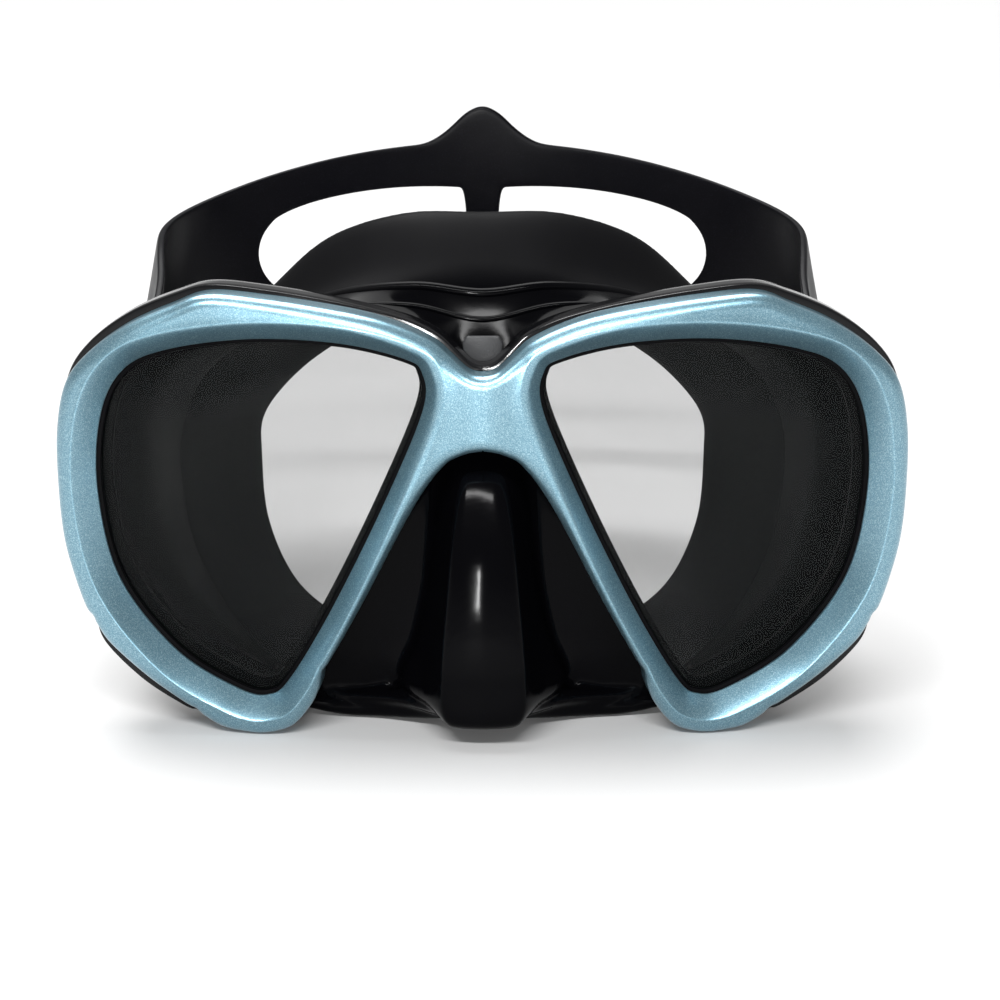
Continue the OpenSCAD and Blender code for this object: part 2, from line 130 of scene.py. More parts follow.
def hit(line, angles):
    """Where rays from the lens centre at those angles meet a clockwise loop."""
    d = line - LENS_CENTRE
    turn = -np.unwrap(np.arctan2(d[:, 1], d[:, 0]))
    turn = np.concatenate([turn - 2 * math.pi, turn, turn + 2 * math.pi])
    where = np.vstack([line] * 3)
    keep = np.r_[True, np.diff(turn) > 1e-9]
    turn, where = turn[keep], where[keep]
    base = turn[0] + np.mod(angles - turn[0], 2 * math.pi)
    return np.stack([np.interp(base, turn, where[:, k]) for k in range(2)], 1)


LENS_LINE = evenly(smooth(LENS, 24, closed=True), 360, closed=True)
LENS_OUT = outward(LENS_LINE, closed=True)


def half_line(margin=0.0):
    """Half of the bezel's outline, moved outwards, from the notch round to the nose arch."""
    p = np.asarray(BEZEL, float)
    q = smooth(p, 16, mirrored=True)
    m = smooth(np.stack([np.zeros(len(p)), np.broadcast_to(margin, len(p))], 1), 16)[:, 1]
    return q + outward(q, mirrored=True) * m[:, None]


def closed_half(margin=0.0):
    """The half outline closed along the middle, as a clockwise loop."""
    q = half_line(margin)
    middle = np.stack([np.zeros(22), np.linspace(q[-1, 1], q[0, 1], 22)], 1)[1:-1]
    return np.vstack([q, middle])


def summed(slope, step):
    """The running sum of a slope over even steps, by trapezoids."""
    return np.r_[0, np.cumsum((slope[1:] + slope[:-1]) / 2 * step)]


# The two halves meet in a short bend at the middle, and each is flat beyond it. These are the
# turn, the place sideways and the place backwards by the distance across one half.
BEND, REACH = 9, 95
ACROSS = np.linspace(0, REACH, 1901)
PAST_BEND = np.clip(ACROSS / BEND, 0, 1)
BEND_TURN = TURN * PAST_BEND ** 2 * (3 - 2 * PAST_BEND)
BEND_Y = summed(np.sin(BEND_TURN), np.diff(ACROSS))
BEND_X = summed(np.cos(BEND_TURN), np.diff(ACROSS))
BEND_Y += REACH * math.sin(TURN) - BEND_Y[-1]
BEND_X += REACH * math.cos(TURN) - BEND_X[-1]
BEND_X -= BEND_X[0] * (1 - PAST_BEND)


def bent(across, up, depth):
    """Where a point of one half lies, from its place across and up the half and its depth."""
    turn = np.interp(across, ACROSS, BEND_TURN)
    x = np.interp(across, ACROSS, BEND_X) - depth * np.sin(turn)
    y = np.interp(across, ACROSS, BEND_Y) + depth * np.cos(turn)
    return np.stack([x, y, up], -1)


def turned(across, up, depth):
    """The same with no bend, for the flat glass and what is round it."""
    x = across * math.cos(TURN) - depth * math.sin(TURN)
    y = across * math.sin(TURN) + depth * math.cos(TURN)
    return np.stack([x, y, up], -1)


# ---------------------------------------------------------------- meshes

def make(name, verts, faces, soft=40):
    """A mesh object from mm, shaded smooth except at edges sharper than soft degrees."""
    v = (np.asarray(verts, float) + [0, FRONT, 0]) * 0.001
    mesh = bpy.data.meshes.new(name)
    mesh.from_pydata(v.tolist(), [], [list(f) for f in faces])
    mesh.validate()
    mesh.shade_smooth()
    obj = bpy.data.objects.new(name, mesh)
    bpy.context.scene.collection.objects.link(obj)
    outward_faces(obj)
    mesh.set_sharp_from_angle(angle=math.radians(soft))
    return obj


def outward_faces(obj, weld=0.0):
    """Turns all faces outwards, after joining points closer than weld metres."""
    bm = bmesh.new()
    bm.from_mesh(obj.data)
    if weld:
        bmesh.ops.remove_doubles(bm, verts=bm.verts, dist=weld)
    bmesh.ops.recalc_face_normals(bm, faces=bm.faces)
    bm.to_mesh(obj.data)
    bm.free()


def lattice(rows, cols, wrap_rows, wrap_cols):
    """Quads of a grid of points numbered row by row."""
    i, j = np.meshgrid(np.arange(rows if wrap_rows else rows - 1),
                       np.arange(cols if wrap_cols else cols - 1), indexing="ij")
    a, b = i * cols, ((i + 1) % rows) * cols
    k = (j + 1) % cols
    return np.stack([a + j, b + j, b + k, a + k], -1).reshape(-1, 4)


def lofted(sections, joined=False):
    """(verts, faces) of a closed solid through closed sections; capped unless joined."""
    s = np.asarray(sections, float)
    rows, cols = s.shape[:2]
    faces = lattice(rows, cols, joined, True).tolist()
    if not joined:
        faces += [list(range(cols))[::-1], list(range((rows - 1) * cols, rows * cols))]
    return s.reshape(-1, 3), faces


def swept(path, radius, sides=16):
    """(verts, faces) of a round tube along a path."""
    path = np.asarray(path, float)
    along = np.gradient(path, axis=0)
    along /= np.linalg.norm(along, axis=1)[:, None]
    first = np.cross(along, [0, 0, 1])
    first /= np.linalg.norm(first, axis=1)[:, None]
    second = np.cross(along, first)
    turn = np.linspace(0, 2 * math.pi, sides, endpoint=False)
    radius = np.broadcast_to(radius, len(path))[:, None, None]
    ring = first[:, None] * np.cos(turn)[:, None] + second[:, None] * np.sin(turn)[:, None]
    return lofted(path[:, None] + ring * radius)


def merged(parts):
    """One (verts, faces) from several."""
    verts, faces, at = [], [], 0
    for v, f in parts:
        verts.append(np.asarray(v, float))
        faces += [[k + at for k in g] for g in f]
        at += len(v)
    return np.vstack(verts), faces


def flipped(part):
    """The same on the other side."""
    v, f = part
    return np.asarray(v, float) * [-1, 1, 1], [list(g)[::-1] for g in f]


def both_halves(name, half, soft=40):
    """Both halves of a ring joined at x = 0, with no faces left inside."""
    v, f = half
    v = np.array(v, float)
    v[np.abs(v[:, 0]) < 2e-4, 0] = 0
    f = [g for g in f if not all(v[k, 0] == 0 for k in g)]
    obj = make(name, *merged([(v, f), flipped((v, f))]), soft=soft)
    outward_faces(obj, weld=1e-6)
    obj.data.set_sharp_from_angle(angle=math.radians(soft))
    return obj


def applied(obj, *modifiers):
    """Adds modifiers given as (type, {settings}) and applies them."""
    for kind, settings in modifiers:
        m = obj.modifiers.new(kind.title(), kind)
        for key, value in settings.items():
            setattr(m, key, value)
    shot = obj.evaluated_get(bpy.context.evaluated_depsgraph_get())
    mesh = bpy.data.meshes.new_from_object(shot)
    obj.modifiers.clear()
    old, obj.data = obj.data, mesh
    bpy.data.meshes.remove(old)
    return obj


def finished(obj, look, body, slot, *nodes):
    """Gives a piece its material, body and slot, and the CAD nodes that it stands for."""
    obj.data.materials.clear()
    obj.data.materials.append(look)
    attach(obj, body)
    if nodes:
        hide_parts(*nodes)
    return obj


def refined(name, node, look, body, slot, width, segments=2):
    """A copy of a small CAD part with its edges rounded by width mm."""
    bm = bmesh.new()
    bm.from_mesh(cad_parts[node].data)
    bmesh.ops.remove_doubles(bm, verts=bm.verts, dist=1e-6)
    bmesh.ops.dissolve_limit(bm, angle_limit=math.radians(1), verts=bm.verts, edges=bm.edges)
    mesh = bpy.data.meshes.new(name)
    bm.to_mesh(mesh)
    bm.free()
    obj = bpy.data.objects.new(name, mesh)
    bpy.context.scene.collection.objects.link(obj)
    applied(obj, ("BEVEL", {"width": width * 0.001, "segments": segments, "limit_method": "ANGLE",
                            "angle_limit": math.radians(32)}))
    obj.data.shade_smooth()
    obj.data.set_sharp_from_angle(angle=math.radians(35))
    return finished(obj, look, body, slot, node)


# ---------------------------------------------------------------- materials

def material(name, base, roughness, metallic=0.0, **sockets):
    """A principled material; sockets are the shader's own, by name with _ for a space."""
    m = bpy.data.materials.new(name)
    m.use_nodes = True
    shader = m.node_tree.nodes["Principled BSDF"]
    shader.inputs["Base Color"].default_value = (*base, 1)
    shader.inputs["Roughness"].default_value = roughness
    shader.inputs["Metallic"].default_value = metallic
    for key, value in sockets.items():
        shader.inputs[key.replace("_", " ")].default_value = value
    return m


def noise(m, scale, detail=3.0, stretch=(1, 1, 1)):
    """Noise in the object's own space, in cells per metre."""
    nodes, links = m.node_tree.nodes, m.node_tree.links
    place = nodes.new("ShaderNodeTexCoord")
    mapping = nodes.new("ShaderNodeMapping")
    mapping.inputs["Scale"].default_value = stretch
    texture = nodes.new("ShaderNodeTexNoise")
    texture.inputs["Scale"].default_value = scale
    texture.inputs["Detail"].default_value = detail
    links.new(place.outputs["Object"], mapping.inputs["Vector"])
    links.new(mapping.outputs["Vector"], texture.inputs["Vector"])
    return texture


def ranged(m, source, low, high, start=0.35, stop=0.65):
    """The source's start to stop spread over low to high."""
    node = m.node_tree.nodes.new("ShaderNodeMapRange")
    node.inputs["From Min"].default_value = start
    node.inputs["From Max"].default_value = stop
    node.inputs["To Min"].default_value = low
    node.inputs["To Max"].default_value = high
    m.node_tree.links.new(source, node.inputs["Value"])
    return node.outputs["Result"]


def coloured(m, source, stops):
    """The source through a colour ramp of (position, colour) stops."""
    ramp = m.node_tree.nodes.new("ShaderNodeValToRGB")
    for element, (position, colour) in zip(ramp.color_ramp.elements, (stops[0], stops[-1])):
        element.position = position
        element.color = (*colour, 1)
    for position, colour in stops[1:-1]:
        ramp.color_ramp.elements.new(position).color = (*colour, 1)
    m.node_tree.links.new(source, ramp.inputs["Fac"])
    return ramp.outputs["Color"]


def maths(m, operation, *values):
    """A maths node of those sources or numbers."""
    node = m.node_tree.nodes.new("ShaderNodeMath")
    node.operation = operation
    for socket, value in zip(node.inputs, values):
        if isinstance(value, (int, float)):
            socket.default_value = value
        else:
            m.node_tree.links.new(value, socket)
    return node.outputs["Value"]


def feed(m, socket, source):
    """Links a source to one of the shader's own sockets."""
    m.node_tree.links.new(source, m.node_tree.nodes["Principled BSDF"].inputs[socket])


def bumped(m, *heights):
    """Stacks bumps of (height source, strength, distance in metres)."""
    last = None
    for source, strength, size in heights:
        bump = m.node_tree.nodes.new("ShaderNodeBump")
        bump.inputs["Strength"].default_value = strength
        bump.inputs["Distance"].default_value = size
        m.node_tree.links.new(source, bump.inputs["Height"])
        if last:
            m.node_tree.links.new(last, bump.inputs["Normal"])
        last = bump.outputs["Normal"]
    feed(m, "Normal", last)


def paint():
    """Pearl light blue paint: fine flake under a clear coat."""
    blue = (0.15, 0.285, 0.355)
    m = material("pearl_blue", blue, 0.33, metallic=0.85, Coat_Weight=0.5, Coat_Roughness=0.1)
    flake = noise(m, 5200, 1.0)
    cloud = noise(m, 60, 2.0)
    stops = [(0.3, (0.115, 0.228, 0.29)), (0.5, blue), (0.72, (0.33, 0.49, 0.56))]
    feed(m, "Base Color", coloured(m, flake.outputs["Fac"], stops))
    feed(m, "Roughness", ranged(m, cloud.outputs["Fac"], 0.29, 0.37))
    bumped(m, (flake.outputs["Fac"], 0.10, 0.0002))
    return m


def gloss_black():
    """Moulded black plastic with a faint mould texture."""
    m = material("frame_black", (0.003, 0.003, 0.0035), 0.12, Specular_IOR_Level=0.3)
    wide, fine = noise(m, 90, 3.0), noise(m, 1500, 2.0)
    feed(m, "Roughness", ranged(m, wide.outputs["Fac"], 0.09, 0.17))
    bumped(m, (fine.outputs["Fac"], 0.04, 0.0001))
    return m


def satin_black(name="buckle_black", base=(0.012, 0.012, 0.013)):
    """Fine-textured moulded plastic."""
    m = material(name, base, 0.42, Specular_IOR_Level=0.22)
    wide, fine = noise(m, 120, 3.0), noise(m, 3800, 2.0)
    feed(m, "Roughness", ranged(m, wide.outputs["Fac"], 0.36, 0.5))
    bumped(m, (fine.outputs["Fac"], 0.25, 0.0002))
    return m


def silicone(name, low, high, tint):
    """Silicone of that tint, with a roughness that clouds from low to high and a little dust."""
    m = material(name, tint, 0.3, Specular_IOR_Level=0.075)
    cloud, fine, dust = noise(m, 45, 4.0), noise(m, 900, 2.0), noise(m, 2600, 1.0)
    feed(m, "Roughness", ranged(m, cloud.outputs["Fac"], low, high))
    dusty = tuple(channel * 2.4 for channel in tint)
    feed(m, "Base Color", coloured(m, dust.outputs["Fac"], [(0.55, tint), (0.78, dusty)]))
    bumped(m, (cloud.outputs["Fac"], 0.12, 0.0016), (fine.outputs["Fac"], 0.05, 0.0002))
    return m


def skirt_silicone():
    """The skirt: polished in front, frosted behind the lenses and towards the face seal."""
    polished, frosted = (0.001, 0.001, 0.0014), (0.003, 0.003, 0.0035)
    m = material("skirt_silicone", frosted, 0.2, Specular_IOR_Level=0.045)
    nodes, links = m.node_tree.nodes, m.node_tree.links
    place = nodes.new("ShaderNodeTexCoord")
    parts = nodes.new("ShaderNodeSeparateXYZ")
    links.new(place.outputs["Object"], parts.inputs["Vector"])
    cloud, fine = noise(m, 40, 4.0), noise(m, 1100, 2.0)
    x, y, z = (parts.outputs[axis] for axis in "XYZ")
    back = ranged(m, y, 0.0, 1.0, (FRONT + 25.5) * 0.001, (FRONT + 29) * 0.001)
    # each lens's inner edge runs along |x| + z / 2 = 45 mm
    across = maths(m, "MULTIPLY_ADD", z, 0.5, maths(m, "ABSOLUTE", x))
    behind = maths(m, "MULTIPLY", ranged(m, across, 0.0, 1.0, 0.0455, 0.0475),
                   ranged(m, z, 1.0, 0.0, 0.080, 0.082))
    rough = ranged(m, maths(m, "MAXIMUM", back, behind), 0.11, 0.5, 0.0, 1.0)
    feed(m, "Roughness", maths(m, "MULTIPLY", rough, ranged(m, cloud.outputs["Fac"], 0.85, 1.2)))
    feed(m, "Base Color", coloured(m, back, [(0.0, polished), (1.0, frosted)]))
    bumped(m, (cloud.outputs["Fac"], 0.10, 0.0015), (fine.outputs["Fac"], 0.02, 0.0001))
    return m


def lens_glass():
    """Clear glass as a see-through sheet that still reflects, a little smeared."""
    m = material("lens_glass", (0.004, 0.005, 0.005), 0.0, IOR=1.28, Alpha=0.27)
    smear = noise(m, 70, 4.0)
    feed(m, "Roughness", ranged(m, smear.outputs["Fac"], 0.0, 0.03, 0.5, 0.8))
    return m


def metal(name, base, roughness):
    """Brushed metal."""
    m = material(name, base, roughness, metallic=1.0)
    scratch = noise(m, 900, 3.0, stretch=(1, 1, 6))
    feed(m, "Roughness", ranged(m, scratch.outputs["Fac"], roughness * 0.75, roughness * 1.3))
    bumped(m, (scratch.outputs["Fac"], 0.08, 0.0001))
    return m


BLUE = paint()
BLACK = gloss_black()
BUCKLE = satin_black()
BUTTON = satin_black("button_black", (0.02, 0.02, 0.022))
GREY = satin_black("catch_grey", (0.035, 0.036, 0.038))
ROLLER = satin_black("roller_grey", (0.09, 0.09, 0.095))
SKIRT = skirt_silicone()
STRAP = silicone("strap_silicone", 0.28, 0.42, (0.002, 0.002, 0.003))
GLASS = lens_glass()
STEEL = metal("pin_steel", (0.55, 0.55, 0.56), 0.28)

# ---------------------------------------------------------------- bezel and main frame

def ray_angles():
    """The clockwise angles of the rays that bezel and frame are built along."""
    angles = -np.unwrap(np.arctan2(*(LENS_LINE - LENS_CENTRE).T[::-1]))
    # more of them towards the bridge and the nose arch, whose edges they meet at a slant
    slant = angles[0] + np.mod(-np.radians(np.linspace(148, 208, 340)) - angles[0], 2 * math.pi)
    angles = np.unique(np.concatenate([angles, slant]).round(5))
    # one ray goes through each of the two corners where the outline meets the middle
    for corner in (half_line()[0], half_line()[-1]):
        wanted = -math.atan2(*(corner - LENS_CENTRE)[::-1])
        gap = np.mod(angles - wanted + math.pi, 2 * math.pi) - math.pi
        nearest = np.abs(gap).argmin()
        angles[nearest] -= gap[nearest]
    return angles


RAYS = ray_angles()
BEVEL_WIDTH, BEVEL_DEPTH = 4.1, 4.3
EDGE_ROUND = 2.6


def bezel_depth(lens_gap, edge_gap, across):
    """Depth of the bezel's face from the gaps to its two edges: an inner bevel up to a ridge, a
    face that falls back gently, and a rounded outer edge. The bridge is crowned."""
    inner = BEVEL_DEPTH * (1 - np.clip(lens_gap / BEVEL_WIDTH, 0, 1)) ** 1.15
    past_ridge = np.clip(lens_gap - BEVEL_WIDTH, 0, 20)
    crown = 1.3 * (1 - np.exp(-(across / 6) ** 2)) * np.exp(-(np.clip(across - 9, 0, 90) / 13) ** 2)
    face = 0.9 * (1 - np.exp(-past_ridge / 3)) + crown
    fall = 1 - np.clip(edge_gap / EDGE_ROUND, 0, 1)
    rounded = 2.3 * (1 - np.sqrt(np.clip(1 - fall ** 2, 0, 1)))
    return (inner ** 5 + (face + rounded) ** 5) ** 0.2


def front_bezel():
    """The painted bezel: its face in rows from the lens opening out, then the wall and the back."""
    inner = hit(LENS_LINE, RAYS)
    outer = hit(closed_half(), RAYS)
    step = np.linspace(0, 1, 56)
    # the rows lie closer together near both edges
    step = 0.5 * step + 0.5 * (1 - np.cos(step * math.pi)) / 2
    face = inner[:, None] + (outer - inner)[:, None] * step[None, :, None]
    points = face.reshape(-1, 2)
    lens_gap = distance(points, np.vstack([LENS_LINE, LENS_LINE[:1]]))
    edge_gap = distance(points, half_line())
    depth = bezel_depth(lens_gap, edge_gap, points[:, 0]).reshape(face.shape[:2])
    wall = [(outer, depth[:, -1] + (BEZEL_BACK - depth[:, -1]) * part)
            for part in (0.25, 0.5, 0.75, 0.94, 1.0)]
    # the back lies a little inside the outline, and still meets its other half on the middle
    tucked = hit(closed_half(-1.5), RAYS)
    tucked[outer[:, 0] < 1e-6, 0] = 0
    back = [(tucked, BEZEL_BACK), (tucked, BEZEL_SEAT), (inner, BEZEL_SEAT),
            (inner, BEVEL_DEPTH + 0.1)]
    rows = np.concatenate([face] + [line[:, None] for line, deep in wall + back], 1)
    depths = [np.broadcast_to(deep, len(inner))[:, None] for line, deep in wall + back]
    half = lofted(bent(rows[..., 0], rows[..., 1], np.concatenate([depth] + depths, 1)), joined=True)
    obj = both_halves("front_bezel_paint", half, soft=50)
    return finished(obj, BLUE, "mask", "bezel_paint", "front_bezel")


def main_frame():
    """The black frame behind the bezel: a ring whose outer edge is rounded front and back."""
    inner = hit(LENS_LINE + LENS_OUT * 3.4, RAYS)
    under_bezel = hit(closed_half(-1.8), RAYS)
    rim = [(-0.55, FRAME_FRONT), (-0.16, 7.3), (0, 7.75), (0, 9), (0, 10.6), (0, 12.1),
           (-0.12, 12.6), (-0.42, 12.9), (-0.9, FRAME_BACK)]
    margin = np.array(FRAME_MARGIN)
    rows = [(inner, FRAME_FRONT), (under_bezel, FRAME_FRONT)]
    rows += [(hit(closed_half(margin + step), RAYS), depth) for step, depth in rim]
    rows.append((inner, FRAME_BACK))
    lines = np.stack([line for line, depth in rows], 1)
    depths = np.broadcast_to([depth for line, depth in rows], lines.shape[:2])
    half = lofted(bent(lines[..., 0], np.maximum(lines[..., 1], 0), depths), joined=True)
    obj = both_halves("main_frame_ring", half)
    return finished(obj, BLACK, "mask", "frame_plastic", "main_frame")


def block(low, high, round_by=0.4):
    """(verts, faces) of a box with rounded edges between two opposite corners."""
    bm = bmesh.new()
    bmesh.ops.create_cube(bm, size=1)
    low, high = np.array(low, float), np.array(high, float)
    for v in bm.verts:
        v.co = Vector((low + high) / 2) + Vector(np.array(v.co) * (high - low))
    bmesh.ops.bevel(bm, geom=bm.edges, offset=round_by, segments=3, profile=0.5, affect="EDGES")
    part = [tuple(v.co) for v in bm.verts], [[v.index for v in f.verts] for f in bm.faces]
    bm.free()
    return part


def fork_ear(x):
    """One ear of a fork, centred at x: a plate with the pin's hole, round behind and straight
    towards the frame."""
    hole, thick, stem = 2.02, 1.4, 7.0
    turn = np.linspace(0, 2 * math.pi, 72, endpoint=False)
    c, s = np.cos(turn), np.sin(turn)
    rows = []
    for radius, across in [(hole, -thick), (5.1, -thick), (5.38, -1.28), (5.5, -1.0), (5.5, 1.0),
                           (5.38, 1.28), (5.1, thick), (hole, thick)]:
        straight = np.minimum(radius / np.maximum(np.abs(s), 1e-6), stem / np.maximum(-c, 1e-6))
        reach = radius if radius == hole else np.where(c >= 0, radius, straight)
        rows.append(np.stack([np.full(len(turn), x + across), c * reach, s * reach], 1))
    return lofted(np.stack(rows, 1), joined=True)


def frame_fork(name, side):
    """The fork that a buckle swivels in, on the back of the frame."""
    parts = [fork_ear(-3.8), fork_ear(3.8), block((-5.2, -7.8, -5.5), (5.2, -5.6, 5.5)),
             block((1.5, -13, -5.4), (5.2, -7, 5.4))]
    verts, faces = merged(parts)
    part = verts + PIVOT, faces
    obj = make(name, *(part if side == "right" else flipped(part)))
    return finished(obj, BLACK, "mask", "frame_plastic", "main_frame")


front_bezel()
main_frame()
for side in ("left", "right"):
    frame_fork(f"frame_fork_{side}", side)

# ---------------------------------------------------------------- lenses and their grooves


def lens_ring(profile):
    """A ring round the right lens from (gap outside its opening, depth) points."""
    rows = [turned(*(LENS_LINE + LENS_OUT * gap).T, np.full(len(LENS_LINE), depth))
            for gap, depth in profile]
    return lofted(np.stack(rows, 1), joined=True)


def lens_disc():
    """The right glass, with ground edges."""
    edge = [(2.0, GLASS_FRONT), (2.3, 5.72), (2.4, 6.0), (2.4, 9.2), (2.3, 9.5), (2.0, GLASS_BACK)]
    return lofted([turned(*(LENS_LINE + LENS_OUT * gap).T, np.full(len(LENS_LINE), depth))
                   for gap, depth in edge])


for side, half in (("right", lens_disc()), ("left", flipped(lens_disc()))):
    obj = make(f"lens_{side}_glass", *half, soft=25)
    finished(obj, GLASS, "mask", "lens_glass", f"lens_{side}")

# the skirt's groove round each glass, as (gap outside the lens opening, depth)
GROOVE = [(3.1, 4.85), (-0.35, 4.85), (-0.75, 4.95), (-0.9, 5.2), (-0.85, 5.55), (2.5, 5.57),
          (2.5, 9.62), (-1.7, 9.64), (-2.0, 9.9), (-2.0, 10.8), (-1.6, 11.15), (0.6, 11.4),
          (3.1, 12.6)]
for side, half in (("right", lens_ring(GROOVE)), ("left", flipped(lens_ring(GROOVE)))):
    obj = make(f"lens_groove_{side}", *half, soft=35)
    finished(obj, SKIRT, "mask", "skirt_silicone", "skirt")

# ---------------------------------------------------------------- skirt

# Rings of the skirt's wall, half of each from the top of the forehead to under the nose, as (across,
# depth, up): where it leaves the frame, its neck, its flare, its rim and the edge on the face. INNER
# is the edge of the second seal.
ROOT = [(0, 16.6, 68.6), (12.7, 15.8, 80), (28.6, 16.8, 83.5), (48.5, 18.9, 83.5), (66, 20.9, 80.2),
        (76, 21.4, 67), (76.9, 21.3, 50), (71.6, 20.8, 31.3), (60.7, 19.7, 16.6), (44.5, 18.1, 7.4),
        (31, 16.6, 5.5), (16, 10, 5.4), (0, -2.5, 5.4)]
NECK = [(0, 21, 80), (14, 22.5, 83.5), (31, 24, 84), (49, 26, 80.5), (62, 27.5, 74), (68.4, 27.6, 64),
        (69.6, 27.4, 50), (66.5, 27.5, 32), (56, 26, 16), (43, 23, 5), (31, 18.5, 1.4), (17, 15, 2.6),
        (0, 8, 2.4)]
FLARE = [(0, 27, 90), (14, 29, 90.5), (29, 34, 87), (44, 42, 78), (55, 48, 68), (61, 51, 57),
         (63, 52, 46), (60.5, 49, 28), (52.5, 43, 12), (41, 36, 2.4), (29, 30, 0.7), (16, 26, 1),
         (0, 21, 1.8)]
RIM = [(0, 38, 101), (16, 41, 100.3), (31.5, 47, 94.5), (43, 52.5, 84), (51.5, 59, 73),
       (58, 65.5, 60), (60.5, 69, 46), (58.5, 64, 26), (50.5, 55, 9), (39.5, 46, 1.1), (28, 40, 1),
       (15, 36, 1.1), (0, 34, 1.8)]
FACE = [(0, 45, 93), (14, 47, 92), (27, 52, 86.5), (37, 57.5, 77), (44.5, 64, 67), (49.5, 70, 56),
        (50.5, 73, 45), (48.5, 68, 28), (42, 60, 15), (33, 51, 8.5), (23.5, 45, 7.5), (13, 40.5, 8),
        (0, 38, 9)]
INNER = [(0, 36, 82), (12, 38, 81), (24, 43, 76), (35, 49, 68.5), (43, 56, 60), (47.7, 62, 52),
         (48.4, 64, 44), (47, 60, 30), (41, 52, 19), (32, 44, 13.5), (22, 38, 12), (12, 33, 11),
         (0, 31, 10)]
# The nose pocket at each height: half width of its front panel, half width behind that, depth of
# its front, and the half width and depth where it meets the frame.
NOSE = [(3.4, 5, 7, 0.5, 12, 13), (4.2, 6.4, 9.6, -2.1, 20, 15), (5.2, 7.2, 11.8, -3.4, 30, 16.4),
        (6.5, 7.8, 14, -3.9, 34, 17), (8, 8.2, 15.8, -4, 34.5, 17), (10, 8.4, 16.4, -4, 34.5, 17),
        (13, 8.3, 15.6, -4, 33, 16.8), (18, 8.1, 13.4, -4, 30.5, 16.6), (28, 7.3, 11, -2.5, 26, 16.2),
        (38, 6.4, 9.6, 0, 21, 15.6), (46, 5.6, 8.6, 3.5, 17.3, 15.2), (53, 4.8, 7.4, 7.5, 13.8, 14.9),
        (58, 4, 6.4, 12.7, 11, 15.4), (60.4, 3.7, 6, 13.6, 10, 15.4), (63.5, 3.4, 5.6, 13.7, 9, 15.7)]
# the rolled lower edge between the nose pocket and the frame
LIP = [(0, 8.5, 4.2), (8, 9.8, 3.8), (15, 13.4, 2.6), (21, 15.8, 2.05), (28, 16.9, 2), (34, 17.6, 2.9),
       (40, 18.4, 4.6)]


def full_ring(marks, steps=12):
    """A closed curve through half a ring's marks and their other side."""
    p = np.asarray(marks, float)
    return smooth(np.vstack([p, p[-2:0:-1] * [-1, 1, 1]]), steps, closed=True)


def skirt_wall():
    """The wall's outer lines from the frame back to the face, their normals, and its thickness."""
    rings = np.stack([full_ring(m) for m in (ROOT, NECK, FLARE, RIM, FACE)])
    lines = np.stack([smooth(rings[:, i], 10) for i in range(rings.shape[1])])
    wall = smooth(np.array([[3.0], [2.2], [2.0], [1.9], [1.25]]), 10)[:, 0]
    along = np.roll(lines, -1, 0) - np.roll(lines, 1, 0)
    deep = np.gradient(lines, axis=1)
    n = np.cross(along, deep)
    n /= np.linalg.norm(n, axis=2)[..., None]
    return lines, n, wall


def inner_seal():
    """The second seal: a thin sheet from inside the flare, bowed towards the face."""
    lines, n, wall = skirt_wall()
    start, ahead = 15, 20
    edge = full_ring(INNER)
    root = lines[:, start] - n[:, start] * wall[start] * 0.5
    bow = lines[:, ahead] - lines[:, start]
    bow /= np.linalg.norm(bow, axis=1)[:, None]
    t = np.linspace(0, 1, 13)[None, :, None]
    middle = root[:, None] * (1 - t) + edge[:, None] * t + bow[:, None] * (np.sin(t * math.pi) * 1.6)
    thick = bow[:, None] * (0.9 - 0.3 * t)
    thick[:, -1] *= 0.5
    sheet = np.concatenate([middle + thick, (middle - thick)[:, ::-1]], 1)
    obj = make("inner_seal", *lofted(sheet, joined=True))
    return finished(obj, SKIRT, "mask", "skirt_silicone", "skirt")


def nose_pocket():
    """The nose pocket, in level sections."""
    wall = 2.1
    sections = []
    for z, w, side, front, wide, back in smooth(NOSE, 6):
        deep = back - front
        half = smooth([(0, front), (w * 0.5, front + 0.25), (w * 0.86, front + 0.8),
                       (w + 0.25, front + min(1.9, deep * 0.25)),
                       (w * 0.5 + side * 0.5, front + deep * 0.42),
                       (side, front + deep * 0.7), (side + 1.2, front + deep * 0.9),
                       ((side + 1.2 + wide) / 2, back - 0.2), (wide, back + 0.2)], 6)
        line = np.vstack([half[:0:-1] * [-1, 1], half])
        loop = np.vstack([line, (line + outward(line) * wall)[::-1]])
        sections.append(np.insert(loop, 2, z, axis=1))
    return lofted(sections)


def skirt():
    """The wall, the nose pocket and what joins them to the lens grooves, grown together."""
    lines, n, wall = skirt_wall()
    inside = lines - n * wall[None, :, None]
    body = lofted(np.concatenate([lines[:, ::-1], inside], 1), joined=True)
    collar = lens_ring([(3, 11.4), (-0.2, 11.4), (-0.4, 15.2), (3, 15.4)])
    web = [(-1.5, 54.5), (16.8, 54.5), (11.8, 67), (11.6, 75.5), (9.5, 77), (4.9, 70.5), (-1.5, 70.5)]
    bridge = lofted([[turned(*place, depth) for place in web] for depth in (13.2, 15.4)])
    lip = smooth(LIP, 8)
    lip = swept(np.vstack([lip[:0:-1] * [-1, 1, 1], lip]), 1.75)
    obj = make("skirt_silicone", *merged([body, nose_pocket(), lip, collar, flipped(collar), bridge,
                                          flipped(bridge)]))
    voxel = 0.55
    applied(obj, ("REMESH", {"mode": "VOXEL", "voxel_size": voxel * 0.001, "use_smooth_shade": True}),
            ("SMOOTH", {"factor": 0.5, "iterations": 10}))
    return finished(obj, SKIRT, "mask", "skirt_silicone", "skirt")


